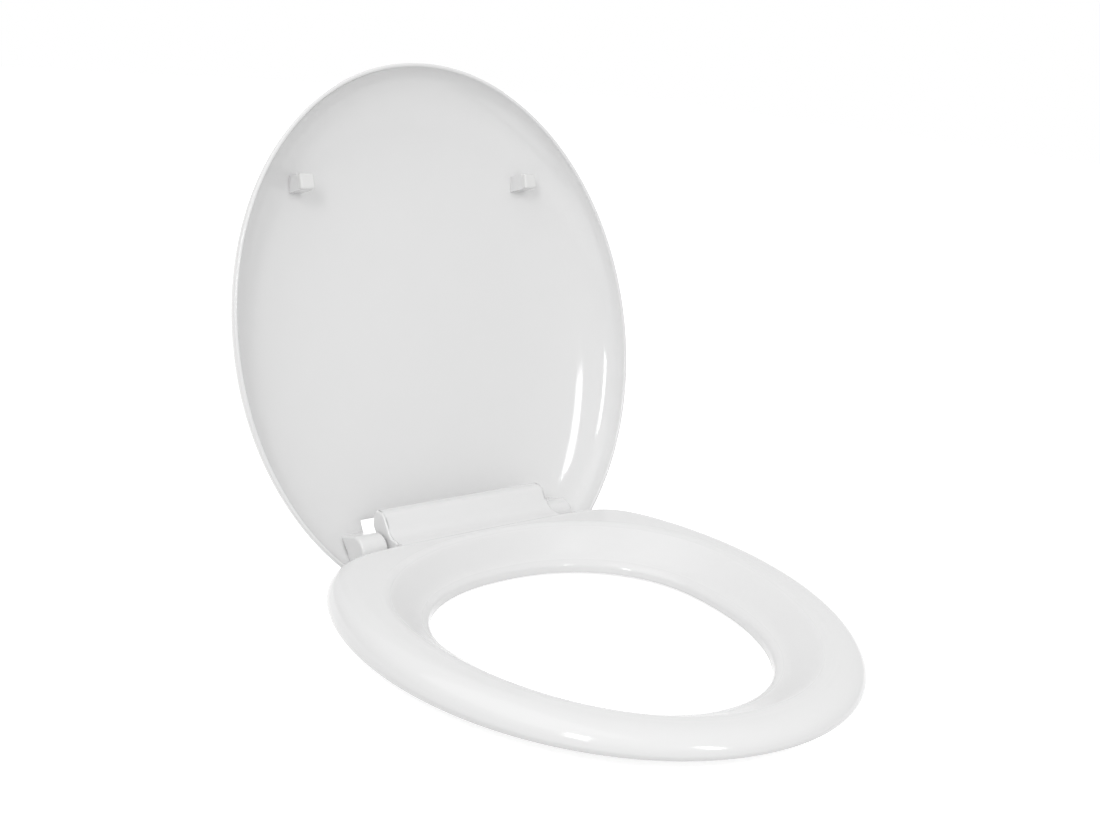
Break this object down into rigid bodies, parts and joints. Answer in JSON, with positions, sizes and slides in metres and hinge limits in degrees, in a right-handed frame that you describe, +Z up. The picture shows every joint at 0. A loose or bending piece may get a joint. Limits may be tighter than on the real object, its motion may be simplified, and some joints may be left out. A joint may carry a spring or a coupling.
{
  "type": "toilet seat",
  "caption": "White toilet seat with a dished ring, a deep domed lid that wraps over it, and a hooded rear hinge on two pan fixings, shown with the lid open.",
  "frame": {"origin": "on top of the pan, midway between the two pan fixings and straight below the hinge line", "axes": "+Z up, X along the hinge line to the right seen from the front, -Y to the front of the seat"},
  "size_m": [0.396, 0.5149, 0.407],
  "materials": {
    "seat_plastic": "gloss white moulding",
    "lid_plastic": "gloss white moulding",
    "pillar_plastic": "gloss white moulding",
    "bush_plastic": "matt white",
    "buffer_rubber": "soft white",
    "pad_rubber": "soft grey",
    "pin_steel": "bright drawn",
    "insert_brass": "turned"
  },
  "bodies": {
    "pan_hinges": {"hinge_pillar_left": "pillar_plastic", "hinge_pin_left": "pin_steel", "base_pad_left": "pad_rubber", "thread_insert_left": "insert_brass", "grub_screw_left": "pin_steel", "hinge_pillar_right": "pillar_plastic", "hinge_pin_right": "pin_steel", "base_pad_right": "pad_rubber", "thread_insert_right": "insert_brass", "grub_screw_right": "pin_steel"},
    "ring": {"seat_ring": "seat_plastic", "ring_bush_left": "bush_plastic", "ring_buffer_front_left": "buffer_rubber", "ring_buffer_rear_left": "buffer_rubber", "ring_bush_right": "bush_plastic", "ring_buffer_front_right": "buffer_rubber", "ring_buffer_rear_right": "buffer_rubber"},
    "cover": {"lid": "lid_plastic", "lid_bush_left": "bush_plastic", "lid_buffer_left": "buffer_rubber", "lid_bush_right": "bush_plastic", "lid_buffer_right": "buffer_rubber"}
  },
  "joints": [
    {"name": "ring_hinge", "type": "hinge", "parent": "pan_hinges", "child": "ring", "pos_m": [0, 0, 0.028], "axis": [-1, 0, 0], "range_deg": [0, 95]},
    {"name": "lid_hinge", "type": "hinge", "parent": "ring", "child": "cover", "pos_m": [0, 0, 0.028], "axis": [-1, 0, 0], "range_deg": [-107, 0]}
  ]
}
